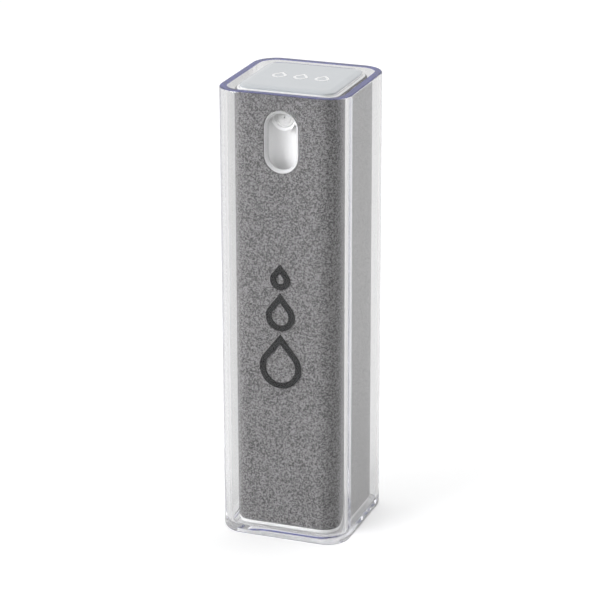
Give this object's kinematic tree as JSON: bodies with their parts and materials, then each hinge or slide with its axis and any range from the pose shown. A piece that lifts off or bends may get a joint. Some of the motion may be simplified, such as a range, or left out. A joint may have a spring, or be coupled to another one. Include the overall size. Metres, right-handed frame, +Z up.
{
  "type": "lens cleaning spray",
  "caption": "Pocket lens cleaning spray: a square cloth-covered atomiser with a press-down top and an oval spray window, standing in an open-topped clear case.",
  "frame": {"origin": "centre of the clear case's foot, on the surface it stands on", "axes": "+Z up the case, -Y out of the front face with the spray window and printed mark, +X to the right seen from the front"},
  "size_m": [0.028, 0.028, 0.0968],
  "materials": {
    "clear_plastic": "clear polished, with a faint blue-violet cast at the edges",
    "white_plastic": "white, satin moulded",
    "grey_plastic": "pale grey, fine turned texture",
    "plate_plastic": "cool pale grey, high gloss",
    "microfibre": "grey suede microfibre, short nap",
    "black_print": "black raised print",
    "white_print": "white inlay",
    "natural_plastic": "natural translucent polypropylene",
    "gasket_rubber": "matte",
    "steel": "bright stainless steel"
  },
  "bodies": {
    "case": {"clear_case": "clear_plastic"},
    "unit": {"inner_shell": "white_plastic", "microfibre_wrap": "microfibre", "window_bezel": "white_plastic", "base_plug": "white_plastic", "front_emblem": "black_print", "bottle": "natural_plastic", "closure_collar": "white_plastic", "pump_gasket": "gasket_rubber", "pump_housing": "natural_plastic", "stem_guide": "white_plastic", "dip_tube": "natural_plastic", "return_spring": "steel"},
    "actuator": {"press_button": "white_plastic", "nozzle_insert": "grey_plastic", "button_plate": "plate_plastic", "top_emblem": "white_print", "pump_stem": "white_plastic"},
    "piston": {"pump_piston": "natural_plastic"},
    "ball": {"inlet_ball": "steel"}
  },
  "joints": [
    {"name": "unit_lift", "type": "slide", "parent": "case", "child": "unit", "axis": [0, 0, 1], "range_m": [0, 0.1]},
    {"name": "button_press", "type": "slide", "parent": "unit", "child": "actuator", "axis": [0, 0, -1], "range_m": [0, 0.005], "stiffness_N_per_m": 600, "springref_m": -0.004, "deforming": ["return_spring"]},
    {"name": "piston_stroke", "type": "slide", "parent": "unit", "child": "piston", "axis": [0, 0, -1], "range_m": [0, 0.00435]},
    {"name": "ball_lift", "type": "slide", "parent": "unit", "child": "ball", "axis": [0, 0, 1], "range_m": [0, 0.0008]}
  ],
  "couplings": [
    {"joint": "piston_stroke", "follows": "button_press", "ratio": 0.86}
  ]
}
